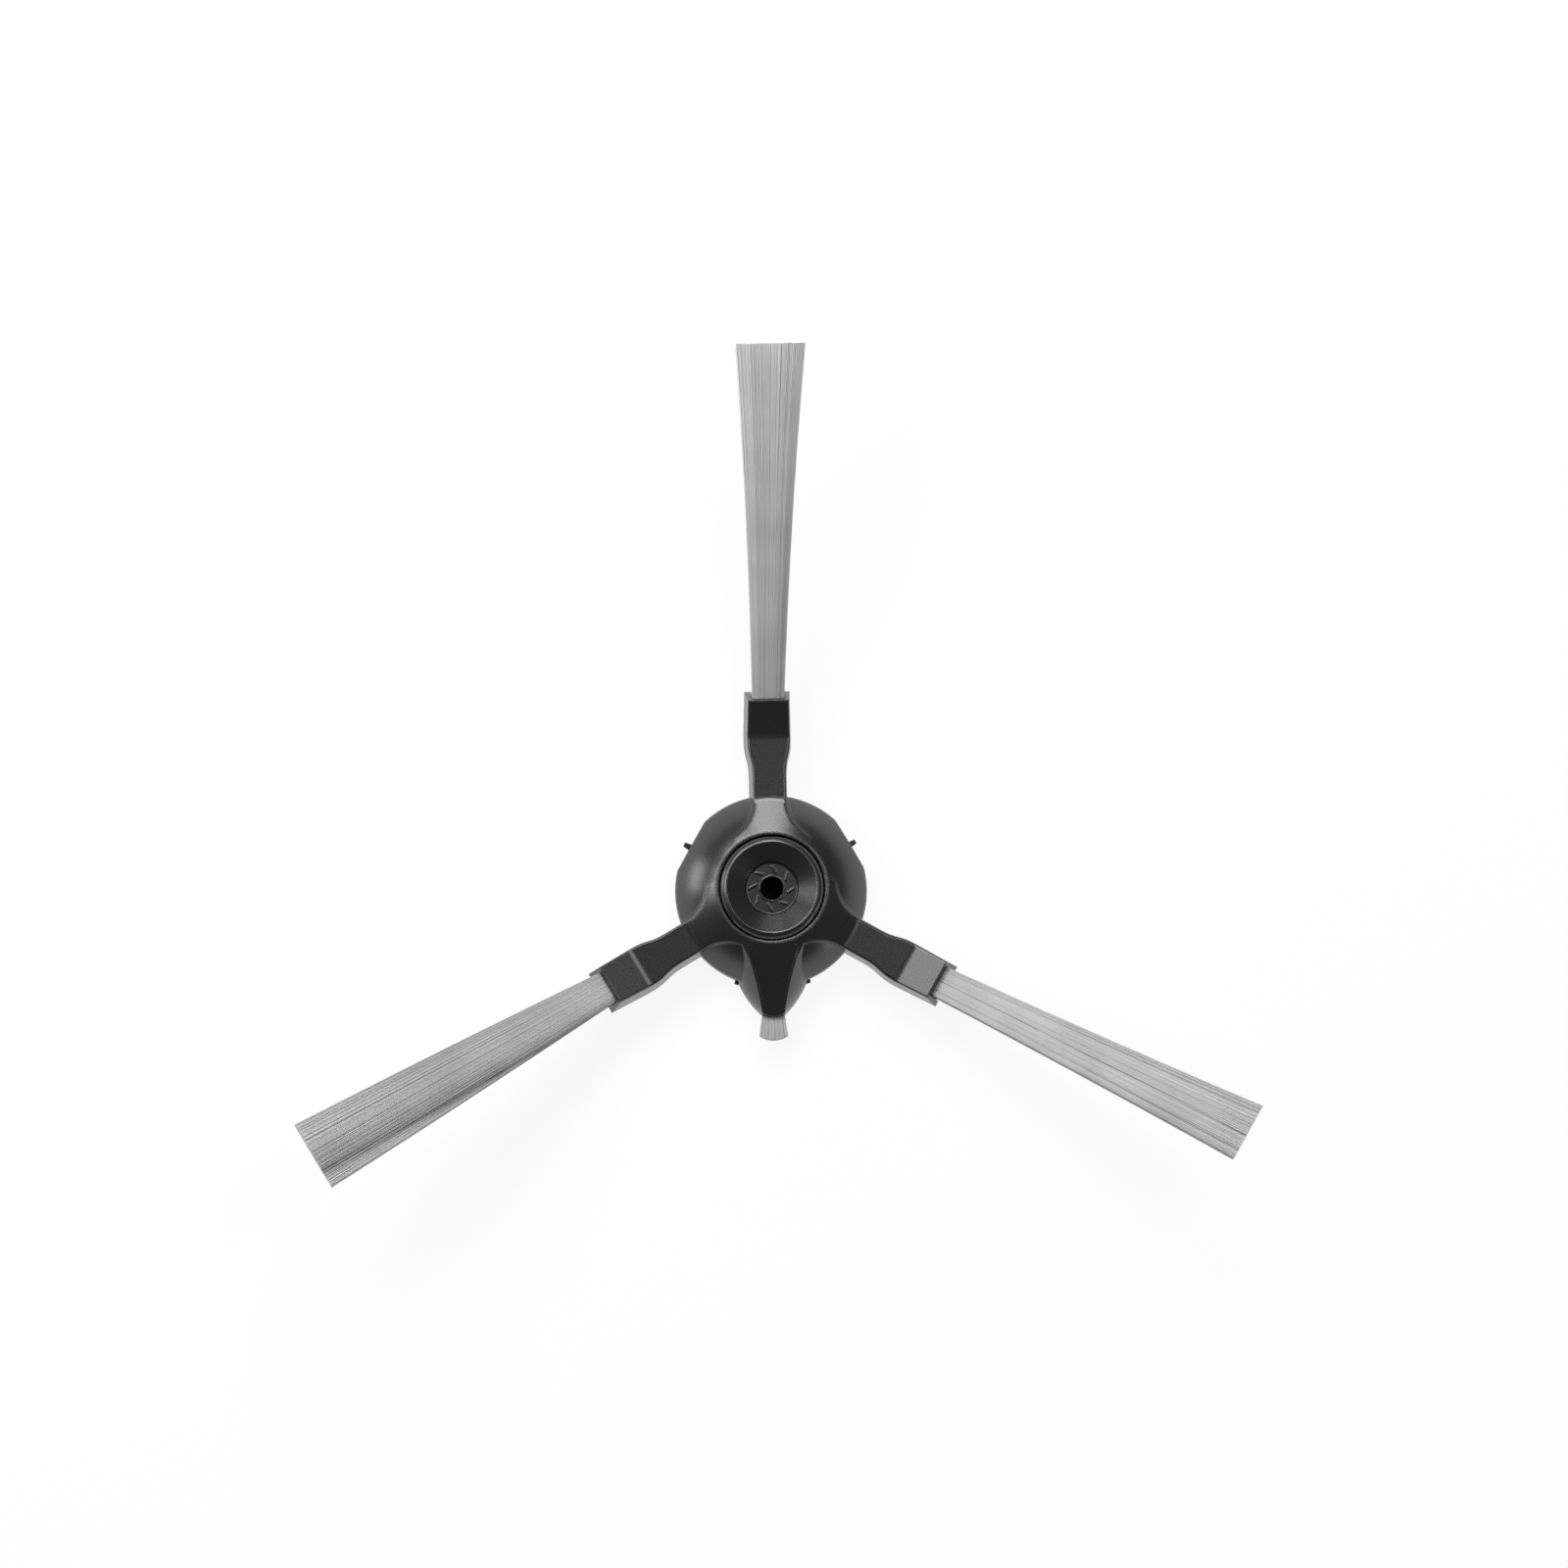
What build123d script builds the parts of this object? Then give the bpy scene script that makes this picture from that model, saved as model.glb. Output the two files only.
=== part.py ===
"""Side brush of a robot vacuum: a domed hub with three channel arms, a drive insert, a back cover
and splayed bristle tufts.

Millimetres. +Z is the hub's axis and points to the floor side of the brush. The origin is on that
axis, at the mouth of the drive socket, level with the back cover's flat face.
"""

import os
from math import asin, atan2, cos, hypot, radians, sin, sqrt, tan

from build123d import *

os.makedirs("parts", exist_ok=True)

# Domed hub
rim_radius = 15.5
rim_height = 3.4
rim_round = 1.2
rim_flat_depth = 0.7
collar_radius = 8.6
dome_height = 9.7
dome_bulge = 0.72
shell_wall = 1.6
collar_seat_depth = 2.5

# Arms: three inverted channels, level in the middle and rising towards the floor at the end
arm_count = 3
first_arm_angle = 90.0
arm_level = 6.9
arm_end_bend = 24.7
arm_reach = 30.4
arm_end_rise = 20.0
arm_waist_width = 5.4
arm_end_width = 6.9
arm_waist_end = 18.6
arm_flare_end = 24.5
arm_root_flare = 3.5
arm_root_flare_run = 6.3
arm_root_step = 0.05
arm_wall = 0.83
arm_plate = 1.2
leading_draft = 5.5
trailing_draft = 2.5
arm_root_blend = 2.0
arm_end_blend = 2.5
arm_edge_round = 0.35

# Tail: a pointed beak opposite the first arm
tail_reach = 20.7
tail_root = 7.0
tail_root_width = 13.2
tail_shoulder_setback = 3.5
tail_shoulder = tail_reach - tail_shoulder_setback
tail_shoulder_width = 8.6
tail_nose_width = 3.8
tail_nose_round = 0.6
tail_crease = 11.2
tail_slope = 22.0
tail_flank_setback = 5.8
tail_flank_waist = tail_reach - tail_flank_setback
tail_flank_width = 9.3
tail_ridge_rise = 0.35
tail_ridge_fade = 11.5
tail_ridge_width = 0.35
tail_facet_root_width = 11.0
tail_facet_setback = 8.1
tail_facet_waist = tail_reach - tail_facet_setback
tail_facet_waist_width = 6.8
tail_facet_nose_width = 3.6
tail_facet_nose_setback = 0.7
tail_facet_tip_setback = 0.2
tail_nose_edge_round = 0.6
tail_pocket_height = 2.3

# Drive insert
insert_clearance = 0.15
crest_radius = 7.35
crest_rise = 0.75
crest_round = 0.2
insert_edge_drop = 0.3
insert_bevel_bulge = 0.2
dish_inner_radius = 4.35
dish_depth = 1.85
seat_radius = 4.1
seat_step = 0.4
screw_bore_radius = 1.9
bore_lip_width = 0.3
seat_ridge_count = 8
seat_ridge_outer_radius = 3.65
seat_ridge_inner_radius = 2.5
seat_ridge_width = 0.3
seat_ridge_height = 0.25
seat_ridge_sweep = 17.0
flange_thickness = 1.4
drive_boss_radius = 4.8
drive_socket_width = 5.2
drive_socket_depth = 5.0
drive_socket_corner = 0.6
key_width = 2.0
key_height = 0.8
key_reach = 0.9

# Back cover
cover_thickness = 1.4
cover_inset = 0.3
cover_clearance = 0.1
clamp_wall = 1.6
spigot_wall = 1.2
spigot_height = 1.2
tongue_thickness = 1.2
tongue_setback = 0.4
retainer_height = 0.6
retainer_width = 1.0
retainer_setback = 2.6
tail_tongue_thickness = 0.9
lug_overhang = 0.5
lug_root_width = 1.3
lug_tip_width = 0.7
lug_thickness = 1.0
tail_lug_angle = 21.5

# Tufts
filament_height_share = 0.96
filament_neck_share = 0.4
tuft_clearance = 0.05
tuft_length = 57.0
tuft_root_length = 5.2
tuft_columns = 20
tuft_row_pairs = 2
tuft_tip_widths = (11.3, 11.5, 9.7)
tuft_half_way_spread = (0.36, 0.55, 0.42)
tuft_leans = (-1.0, 0.0, 1.2)
short_tuft_width = 3.2
short_tuft_tip_width = 5.0
short_tuft_half_way_spread = 0.5
short_tuft_length = 4.1
short_tuft_end_radius = 4.0
short_tuft_root_length = 4.5
short_tuft_columns = 12
short_tuft_row_pairs = 1

# The shell stands on the back cover, and the flats lie half-way between the arms
shell_base = cover_thickness
between_arms = first_arm_angle + 180.0 / arm_count
tail_angle = between_arms + 360.0 / arm_count

# The dome's section is one arc from the collar's edge down to the rim
dome_chord = hypot(rim_radius - collar_radius, dome_height - rim_height)
dome_radius = dome_chord**2 / (8 * dome_bulge) + dome_bulge / 2
dome_fall = atan2(dome_height - rim_height, rim_radius - collar_radius)
dome_edge_slope = dome_fall - asin(dome_chord / (2 * dome_radius))
dome_centre_radius = collar_radius - dome_radius * sin(dome_edge_slope)
dome_centre_height = dome_height - dome_radius * cos(dome_edge_slope)


def dome_height_at(radius, inset=0.0):
    """Height of the dome's skin, or of a skin inset under it, at a radius."""
    return dome_centre_height + sqrt((dome_radius - inset) ** 2 - (radius - dome_centre_radius) ** 2)


def dome_radius_at(height, inset=0.0):
    """Radius of the dome's skin, or of a skin inset under it, at a height."""
    return dome_centre_radius + sqrt((dome_radius - inset) ** 2 - (height - dome_centre_height) ** 2)


# Space under the dome, and the shoulder that the drive insert seats against
cavity_radius = rim_radius - shell_wall
shoulder_height = dome_height - collar_seat_depth
shoulder_radius = dome_radius_at(shoulder_height, shell_wall)
flange_radius = shoulder_radius - cover_clearance
flange_base = shoulder_height - flange_thickness
insert_radius = collar_radius - insert_clearance

# Every line along an arm is its top line set down by a depth
arm_depth = arm_level - shell_base
tongue_top = arm_depth - tongue_thickness
rise = radians(arm_end_rise)
far_reach = arm_reach + arm_depth

# An arm's root leaves the dome along its tangent at the collar, so that its ridges fade out there
root_fall = tan(dome_edge_slope)
arm_root_bend = collar_radius + (dome_height + arm_root_step - arm_level) / root_fall
arm_root_start = arm_root_bend - arm_root_flare_run
hidden_radius = collar_radius - shell_wall


def arm_bend_point(depth):
    """Where the line at this depth turns up towards the arm's end."""
    return (arm_end_bend + depth * tan(rise / 2), arm_level - depth)


def arm_end_point(depth, run_out=0.0):
    """Where the line at this depth meets the arm's end face, or runs past it."""
    end_height = arm_level + (arm_reach - arm_end_bend) * tan(rise)
    return (
        arm_reach + depth * sin(rise) + run_out * cos(rise),
        end_height - depth * cos(rise) + run_out * sin(rise),
    )


def arm_outline(height, inset=0.0):
    """Plan outline of an arm along +X at a height on its drafted walls, or an inset copy of it."""
    flare_turn = (arm_waist_end + arm_flare_end) / 2
    corners = []
    for side, draft_angle in ((1, leading_draft), (-1, trailing_draft)):
        spread = (arm_level - height) * tan(radians(draft_angle)) - inset
        waist = side * (arm_waist_width / 2 + spread)
        root = waist + side * arm_root_flare
        end = side * (arm_end_width / 2 + spread)
        TangentArc((arm_root_bend, waist), (arm_root_start, root), tangent=(-1, 0))
        Line((arm_root_bend, waist), (arm_waist_end, waist))
        Bezier((arm_waist_end, waist), (flare_turn, waist), (flare_turn, end), (arm_flare_end, end))
        Line((arm_flare_end, end), (far_reach, end))
        corners.append((root, end))
    (left_root, left_end), (right_root, right_end) = corners
    hidden_start = arm_root_start - shell_wall
    Polyline(
        (arm_root_start, left_root),
        (hidden_start, left_root),
        (hidden_start, right_root),
        (arm_root_start, right_root),
    )
    Line((far_reach, left_end), (far_reach, right_end))


# Solid form of one arm, along +X
with BuildPart() as arm_blank:
    with BuildSketch(Plane.XZ) as arm_side:
        with BuildLine():
            Polyline(
                (collar_radius, shell_base),
                (collar_radius, arm_level),
                arm_bend_point(0),
                arm_end_point(0),
                arm_end_point(arm_depth),
                arm_bend_point(arm_depth),
                close=True,
            )
        make_face()
        fillet(arm_side.vertices().sort_by_distance((*arm_bend_point(0), 0))[0], arm_end_blend)
    extrude(amount=rim_radius, both=True)
    with BuildSketch(Plane.XZ) as arm_root_side:
        with BuildLine():
            Polyline(
                (hidden_radius, shell_base),
                (hidden_radius, arm_level + (arm_root_bend - hidden_radius) * root_fall),
                (arm_root_bend, arm_level),
                (arm_root_bend + arm_root_blend, arm_level),
                (arm_root_bend + arm_root_blend, shell_base),
                close=True,
            )
        make_face()
        fillet(arm_root_side.vertices().sort_by_distance((arm_root_bend, arm_level, 0))[0], arm_root_blend)
    revolve(axis=Axis.Z)
    for height in (shell_base, dome_height):
        with BuildSketch(Plane.XY.offset(height)):
            with BuildLine():
                arm_outline(height)
            make_face()
    loft(ruled=True, mode=Mode.INTERSECT)
    arm_top_edges = arm_blank.edges().filter_by(
        lambda edge: edge.center().Z > arm_level - arm_edge_round
        and abs(edge.center().Y) > arm_waist_width / 4
        and edge.center().X > arm_root_start
    )
    fillet(arm_top_edges, arm_edge_round)

# Space inside one arm, along +X, open underneath and at the end
with BuildPart() as arm_channel:
    with BuildSketch(Plane.XZ):
        with BuildLine():
            Polyline(
                (shoulder_radius, arm_level - arm_plate),
                arm_bend_point(arm_plate),
                arm_end_point(arm_plate, arm_depth),
                arm_end_point(2 * arm_depth, arm_depth),
                arm_bend_point(2 * arm_depth),
                (shoulder_radius, arm_level - 2 * arm_depth),
                close=True,
            )
        make_face()
    extrude(amount=rim_radius, both=True)
    with BuildSketch(Plane.XY.offset(-arm_level)):
        with BuildLine():
            arm_outline(arm_level, inset=arm_wall)
        make_face()
    extrude(amount=2 * arm_level + dome_height, mode=Mode.INTERSECT)

# Tail along +X: a sunk facet between two ridges that fade out at the nose, over rounded flanks
facet_slope = radians(tail_slope)
facet_top = dome_height_at(tail_crease)
facet_run = tail_reach - tail_nose_round - tail_crease
ridge_slope = atan2(facet_run * tan(facet_slope) + tail_ridge_rise, facet_run)


def tail_plane(height, slope):
    """Plane that falls towards the nose, from a height over the crease."""
    return Plane(
        origin=(tail_crease, 0, height),
        x_dir=(cos(slope), 0, -sin(slope)),
        z_dir=(sin(slope), 0, cos(slope)),
    )


def tail_outline(slope, root_width, waist, waist_width, nose, nose_width, tip, inset=0.0):
    """Outline of the tail on a sloping plane: two arcs that close in on a rounded nose."""
    root, waist, nose, tip = [
        (radius - tail_crease) / cos(slope) for radius in (tail_root, waist, nose, tip - inset)
    ]
    for side in (1, -1):
        ThreePointArc(
            (root, side * (root_width / 2 - inset)),
            (waist, side * (waist_width / 2 - inset)),
            (nose, side * (nose_width / 2 - inset)),
        )
    ThreePointArc((nose, nose_width / 2 - inset), (tip, 0), (nose, inset - nose_width / 2))
    Line((root, root_width / 2 - inset), (root, inset - root_width / 2))


with BuildPart() as tail_blank:
    with BuildSketch(tail_plane(shell_base, 0.0)):
        with BuildLine():
            tail_outline(
                0.0,
                tail_root_width,
                tail_shoulder,
                tail_shoulder_width,
                tail_reach - tail_nose_round,
                tail_nose_width,
                tail_reach,
            )
        make_face()
    with BuildSketch(tail_plane((shell_base + facet_top + tail_ridge_rise) / 2, ridge_slope / 2)):
        with BuildLine():
            tail_outline(
                ridge_slope / 2,
                tail_root_width,
                tail_flank_waist,
                tail_flank_width,
                tail_reach - tail_nose_round,
                tail_nose_width,
                tail_reach - tail_facet_tip_setback / 4,
            )
        make_face()
    with BuildSketch(tail_plane(facet_top + tail_ridge_rise, ridge_slope)):
        with BuildLine():
            tail_outline(
                ridge_slope,
                tail_facet_root_width,
                tail_facet_waist,
                tail_facet_waist_width,
                tail_reach - tail_facet_nose_setback,
                tail_facet_nose_width,
                tail_reach - tail_facet_tip_setback,
            )
        make_face()
    loft()
    nose_top = (tail_reach, 0, facet_top - facet_run * tan(facet_slope))
    nose_edge = tail_blank.edges().sort_by_distance(nose_top)[0]
    fillet(nose_edge, tail_nose_edge_round)
    with BuildSketch(tail_plane(facet_top, facet_slope)):
        with BuildLine():
            tail_outline(
                facet_slope,
                tail_facet_root_width,
                tail_facet_waist,
                tail_facet_waist_width,
                tail_reach - tail_facet_nose_setback,
                tail_facet_nose_width,
                tail_reach,
                inset=tail_ridge_width,
            )
        make_face()
    extrude(amount=dome_height, mode=Mode.SUBTRACT)
    with BuildSketch(tail_plane(facet_top + tail_ridge_rise, radians(tail_ridge_fade))):
        Rectangle(tail_reach, 2 * rim_radius, align=(Align.MAX, Align.CENTER))
    extrude(amount=dome_height, mode=Mode.SUBTRACT)

# Hub shell: dome, arms and tail as one moulding, open to the back
with BuildPart() as hub_shell:
    with BuildSketch(Plane.XZ) as dome_section:
        with BuildLine():
            dome_middle = (collar_radius + rim_radius) / 2
            Polyline(
                (collar_radius, dome_height),
                (0, dome_height),
                (0, shell_base),
                (rim_radius, shell_base),
                (rim_radius, rim_height),
            )
            ThreePointArc(
                (rim_radius, rim_height),
                (dome_middle, dome_height_at(dome_middle)),
                (collar_radius, dome_height),
            )
        make_face()
        fillet(dome_section.vertices().sort_by_distance((rim_radius, rim_height, 0))[0], rim_round)
    revolve(axis=Axis.Z)
    with PolarLocations(rim_radius - rim_flat_depth, arm_count, start_angle=between_arms):
        Box(
            rim_radius,
            2 * rim_radius,
            2 * dome_height,
            align=(Align.MIN, Align.CENTER, Align.CENTER),
            mode=Mode.SUBTRACT,
        )
    with PolarLocations(0, arm_count, start_angle=first_arm_angle):
        add(arm_blank.part)
    with PolarLocations(0, 1, start_angle=tail_angle):
        add(tail_blank.part)
    with BuildSketch(Plane.XZ):
        with BuildLine():
            cavity_middle = (shoulder_radius + cavity_radius) / 2
            Polyline(
                (shoulder_radius, shoulder_height),
                (0, shoulder_height),
                (0, 0),
                (cavity_radius, 0),
                (cavity_radius, dome_height_at(cavity_radius, shell_wall)),
            )
            ThreePointArc(
                (cavity_radius, dome_height_at(cavity_radius, shell_wall)),
                (cavity_middle, dome_height_at(cavity_middle, shell_wall)),
                (shoulder_radius, shoulder_height),
            )
        make_face()
    revolve(axis=Axis.Z, mode=Mode.SUBTRACT)
    with PolarLocations(0, arm_count, start_angle=first_arm_angle):
        add(arm_channel.part, mode=Mode.SUBTRACT)
    with PolarLocations(shoulder_radius, 1, start_angle=tail_angle):
        Box(
            tail_reach,
            short_tuft_width + 2 * tuft_clearance,
            2 * (shell_base + tail_pocket_height),
            align=(Align.MIN, Align.CENTER, Align.CENTER),
            mode=Mode.SUBTRACT,
        )
    Cylinder(collar_radius, 4 * dome_height, mode=Mode.SUBTRACT)
    with PolarLocations(0, arm_count, start_angle=between_arms):
        with Locations((0, 0, shoulder_height)):
            Box(
                insert_radius + key_reach + insert_clearance,
                key_width + 2 * insert_clearance,
                2 * (key_height + insert_clearance),
                align=(Align.MIN, Align.CENTER, Align.CENTER),
                mode=Mode.SUBTRACT,
            )

# Drive insert: bevelled rim, conical dish and ridged screw seat in front, drive socket behind
crest_height = dome_height + crest_rise
insert_edge_height = dome_height - insert_edge_drop
dish_base = crest_height - dish_depth
seat_floor = dish_base - seat_step
with BuildSketch() as seat_ridge:
    with BuildLine():
        ridge_inner = Vector(seat_ridge_inner_radius, 0).rotate(Axis.Z, -seat_ridge_sweep)
        Line(ridge_inner, (seat_ridge_outer_radius, 0))
    trace(line_width=seat_ridge_width)

with BuildPart() as drive_hub:
    with BuildSketch(Plane.XZ) as insert_section:
        with BuildLine():
            bevel_run = hypot(insert_radius - crest_radius, crest_height - insert_edge_height)
            bevel_middle = (
                (insert_radius + crest_radius) / 2
                + insert_bevel_bulge * (crest_height - insert_edge_height) / bevel_run,
                (insert_edge_height + crest_height) / 2
                + insert_bevel_bulge * (insert_radius - crest_radius) / bevel_run,
            )
            ThreePointArc((insert_radius, insert_edge_height), bevel_middle, (crest_radius, crest_height))
            Polyline(
                (crest_radius, crest_height),
                (dish_inner_radius, dish_base),
                (seat_radius, seat_floor),
                (0, seat_floor),
                (0, 0),
                (drive_boss_radius, 0),
                (drive_boss_radius, flange_base),
                (flange_radius, flange_base),
                (flange_radius, shoulder_height),
                (insert_radius, shoulder_height),
                (insert_radius, insert_edge_height),
            )
        make_face()
        fillet(insert_section.vertices().sort_by_distance((crest_radius, crest_height, 0))[0], crest_round)
    revolve(axis=Axis.Z)
    with PolarLocations(0, arm_count, start_angle=between_arms):
        with Locations((crest_radius, 0, shoulder_height)):
            Box(
                insert_radius + key_reach - crest_radius,
                key_width,
                key_height,
                align=(Align.MIN, Align.CENTER, Align.MIN),
            )
    with BuildSketch(Plane.XY.offset(seat_floor)):
        with PolarLocations(0, seat_ridge_count):
            add(seat_ridge.sketch)
        RegularPolygon(screw_bore_radius + bore_lip_width, seat_ridge_count)
    extrude(amount=seat_ridge_height)
    Cylinder(screw_bore_radius, 4 * dome_height, mode=Mode.SUBTRACT)
    with BuildSketch():
        RectangleRounded(drive_socket_width, drive_socket_width, drive_socket_corner)
    extrude(amount=drive_socket_depth, mode=Mode.SUBTRACT)

# Strip of the back cover that closes one arm, along +X, with a rib that keeps the tuft in
with BuildPart() as tongue:
    with BuildSketch(Plane.XZ):
        with BuildLine():
            Polyline(
                (shoulder_radius, shell_base),
                (shoulder_radius, arm_level - tongue_top),
                arm_bend_point(tongue_top),
                arm_end_point(tongue_top, -tongue_setback),
                arm_end_point(arm_depth, -tongue_setback),
                arm_bend_point(arm_depth),
                close=True,
            )
        make_face()
        with BuildLine():
            Polyline(
                arm_end_point(arm_depth, -retainer_setback),
                arm_end_point(tongue_top - retainer_height, -retainer_setback),
                arm_end_point(tongue_top - retainer_height, -retainer_setback - retainer_width),
                arm_end_point(arm_depth, -retainer_setback - retainer_width),
                close=True,
            )
        make_face()
    extrude(amount=rim_radius, both=True)
    with BuildSketch():
        with BuildLine():
            arm_outline(arm_level, inset=arm_wall + cover_clearance)
        make_face()
    extrude(amount=dome_height, mode=Mode.INTERSECT)

# Small lug that shows past the skirt, along +X
lug_reach = rim_radius + lug_overhang
with BuildSketch() as lug:
    with BuildLine():
        Polyline(
            (cavity_radius, lug_root_width / 2),
            (lug_reach, lug_tip_width / 2),
            (lug_reach, -lug_tip_width / 2),
            (cavity_radius, -lug_root_width / 2),
            close=True,
        )
    make_face()

# Back cover: a disc with flats, a spigot in the skirt, a ring that clamps the insert, and tongues
with BuildPart() as back_cover:
    with BuildSketch():
        Circle(rim_radius - cover_inset)
        with PolarLocations(rim_radius - rim_flat_depth - cover_inset, arm_count, start_angle=between_arms):
            Rectangle(rim_radius, 2 * rim_radius, align=(Align.MIN, Align.CENTER), mode=Mode.SUBTRACT)
    extrude(amount=cover_thickness)
    with BuildSketch(Plane.XY.offset(cover_thickness)):
        Circle(cavity_radius - cover_clearance)
        Circle(cavity_radius - cover_clearance - spigot_wall, mode=Mode.SUBTRACT)
    extrude(amount=spigot_height)
    with PolarLocations(0, arm_count, start_angle=first_arm_angle):
        add(tongue.part)
    with PolarLocations(0, 1, start_angle=tail_angle):
        with Locations((shoulder_radius, 0, cover_thickness)):
            Box(
                tail_reach - tongue_setback - tail_nose_round - shoulder_radius,
                short_tuft_width,
                tail_tongue_thickness,
                align=(Align.MIN, Align.CENTER, Align.MIN),
            )
    with BuildSketch(Plane.XY.offset(cover_thickness)):
        Circle(flange_radius)
    extrude(amount=flange_base - cover_thickness)
    Cylinder(flange_radius - clamp_wall, 4 * dome_height, mode=Mode.SUBTRACT)
    with BuildSketch():
        Circle(flange_radius)
        Circle(drive_boss_radius + cover_clearance, mode=Mode.SUBTRACT)
    extrude(amount=cover_thickness)
    with BuildSketch():
        with PolarLocations(0, 2, between_arms - 360 / arm_count, 720 / arm_count):
            add(lug.sketch)
        with PolarLocations(0, 2, tail_angle - tail_lug_angle, 4 * tail_lug_angle):
            add(lug.sketch)
    extrude(amount=lug_thickness)


def bristle_outline(width, thickness, columns, row_pairs):
    """Corners of a pleated sheet that is folded back and forth, with one pleat for each filament.

    Every other row is set half a filament aside, so that the rows nest.
    """
    rows = 2 * row_pairs
    crest = thickness / rows * filament_height_share / 2
    lower = []
    upper = []
    for row in range(rows):
        count = columns - row % 2
        middle = (row - (rows - 1) / 2) * thickness / rows
        across = [(step - count) * width / columns / 2 for step in range(2 * count + 1)]
        heights = [crest if step % 2 else crest * filament_neck_share for step in range(2 * count + 1)]
        pleats = list(zip(across, heights))
        lower.append([(x, middle - height) for x, height in pleats])
        upper.append([(x, middle + height) for x, height in reversed(pleats)])
    outline = []
    for row in range(0, rows, 2):
        outline += lower[row][1:] if row > 0 else lower[row]
        outline += upper[row + 1][:-1] if row + 2 < rows else upper[row + 1]
    for row in range(rows - 2, -1, -2):
        outline += lower[row + 1][:-1] + upper[row][1:]
    return outline


def bristle_bundle(outline, root_length, length, growth, half_way, lean):
    """Filaments along +Z, straight in their root and then splayed, with X across the bundle."""
    sections = []
    for distance, share in ((-root_length, 0.0), (0.0, 0.0), (length / 2, half_way), (length, 1.0)):
        scale = 1 + (growth - 1) * share
        drift = max(distance, 0.0) * tan(radians(lean))
        with BuildSketch(Plane.XY.offset(distance)) as section:
            with BuildLine():
                Polyline(*[(drift + x * scale, y * scale) for x, y in outline], close=True)
            make_face()
        sections.append(section.sketch)
    return loft(sections, ruled=True, mode=Mode.PRIVATE)


# Each long tuft is made along +Z and then turned into the end of its arm
tuft_width = arm_end_width - 2 * arm_wall - 2 * tuft_clearance
tuft_thickness = tongue_top - arm_plate - 2 * tuft_clearance
end_radius, end_height = arm_end_point((arm_plate + tongue_top) / 2)
end_face = Plane(origin=(end_radius, 0, end_height), x_dir=(0, 1, 0), z_dir=(cos(rise), 0, sin(rise)))
tuft_outline = bristle_outline(tuft_width, tuft_thickness, tuft_columns, tuft_row_pairs)
tufts = []
for number in range(arm_count):
    with BuildPart() as bristle_tuft:
        add(
            bristle_bundle(
                tuft_outline,
                tuft_root_length,
                tuft_length,
                tuft_tip_widths[number % len(tuft_tip_widths)] / tuft_width,
                tuft_half_way_spread[number % len(tuft_half_way_spread)],
                tuft_leans[number % len(tuft_leans)],
            )
        )
        with BuildSketch(Plane.XY.offset(tuft_clearance - retainer_setback)):
            with Locations((0, -tuft_thickness / 2)):
                Rectangle(2 * tuft_width, 2 * (retainer_height + tuft_clearance))
        extrude(amount=-retainer_width - 2 * tuft_clearance, mode=Mode.SUBTRACT)
    arm_turn = Location((0, 0, 0), (0, 0, first_arm_angle + number * 360 / arm_count))
    tufts.append(bristle_tuft.part.moved(arm_turn * end_face.location))

# Short tuft in the tail's pocket, over the cover's tail tongue, trimmed to a rounded end
pocket_floor = shell_base + tail_tongue_thickness
pocket_roof = shell_base + tail_pocket_height
short_tuft_thickness = pocket_roof - pocket_floor - 2 * tuft_clearance
short_tuft_outline = bristle_outline(
    short_tuft_width, short_tuft_thickness, short_tuft_columns, short_tuft_row_pairs
)
with BuildPart() as short_bundle:
    add(
        bristle_bundle(
            short_tuft_outline,
            short_tuft_root_length,
            short_tuft_length,
            short_tuft_tip_width / short_tuft_width,
            short_tuft_half_way_spread,
            0.0,
        )
    )
    end_centre = short_tuft_length - short_tuft_end_radius
    with BuildSketch(Plane.XZ):
        with Locations((0, end_centre)):
            Circle(short_tuft_end_radius)
            Rectangle(
                2 * short_tuft_end_radius,
                end_centre + short_tuft_root_length,
                align=(Align.CENTER, Align.MAX),
            )
    extrude(amount=short_tuft_end_radius, both=True, mode=Mode.INTERSECT)
tail_turn = Location((0, 0, 0), (0, 0, tail_angle))
nose_face = Plane(
    origin=(tail_reach - tail_nose_round, 0, (pocket_floor + pocket_roof) / 2),
    x_dir=(0, 1, 0),
    z_dir=(1, 0, 0),
)
short_tuft = short_bundle.part.moved(tail_turn * nose_face.location)

hub_shell.part.label = "hub_shell"
export_step(hub_shell.part, "parts/hub_shell.step")
drive_hub.part.label = "drive_hub"
export_step(drive_hub.part, "parts/drive_hub.step")
back_cover.part.label = "back_cover"
export_step(back_cover.part, "parts/back_cover.step")
for number, tuft in enumerate(tufts, start=1):
    tuft.label = f"bristle_tuft_{number}"
    export_step(tuft, f"parts/bristle_tuft_{number}.step")
short_tuft.label = "short_tuft"
export_step(short_tuft, "parts/short_tuft.step")
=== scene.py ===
"""Finishes the side brush of a robot vacuum: satin plastic, nylon tufts and a studio stage.

Metres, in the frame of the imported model. +Z is the hub's axis and points to the floor side of the
brush, +Y runs along the first arm and the tail points along -Y.
"""

import math
import random
from collections import namedtuple

import bpy
from bpy.props import (
    FloatProperty,
    FloatVectorProperty,
    IntProperty,
    PointerProperty,
)
from mathutils import Matrix, Vector


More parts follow.
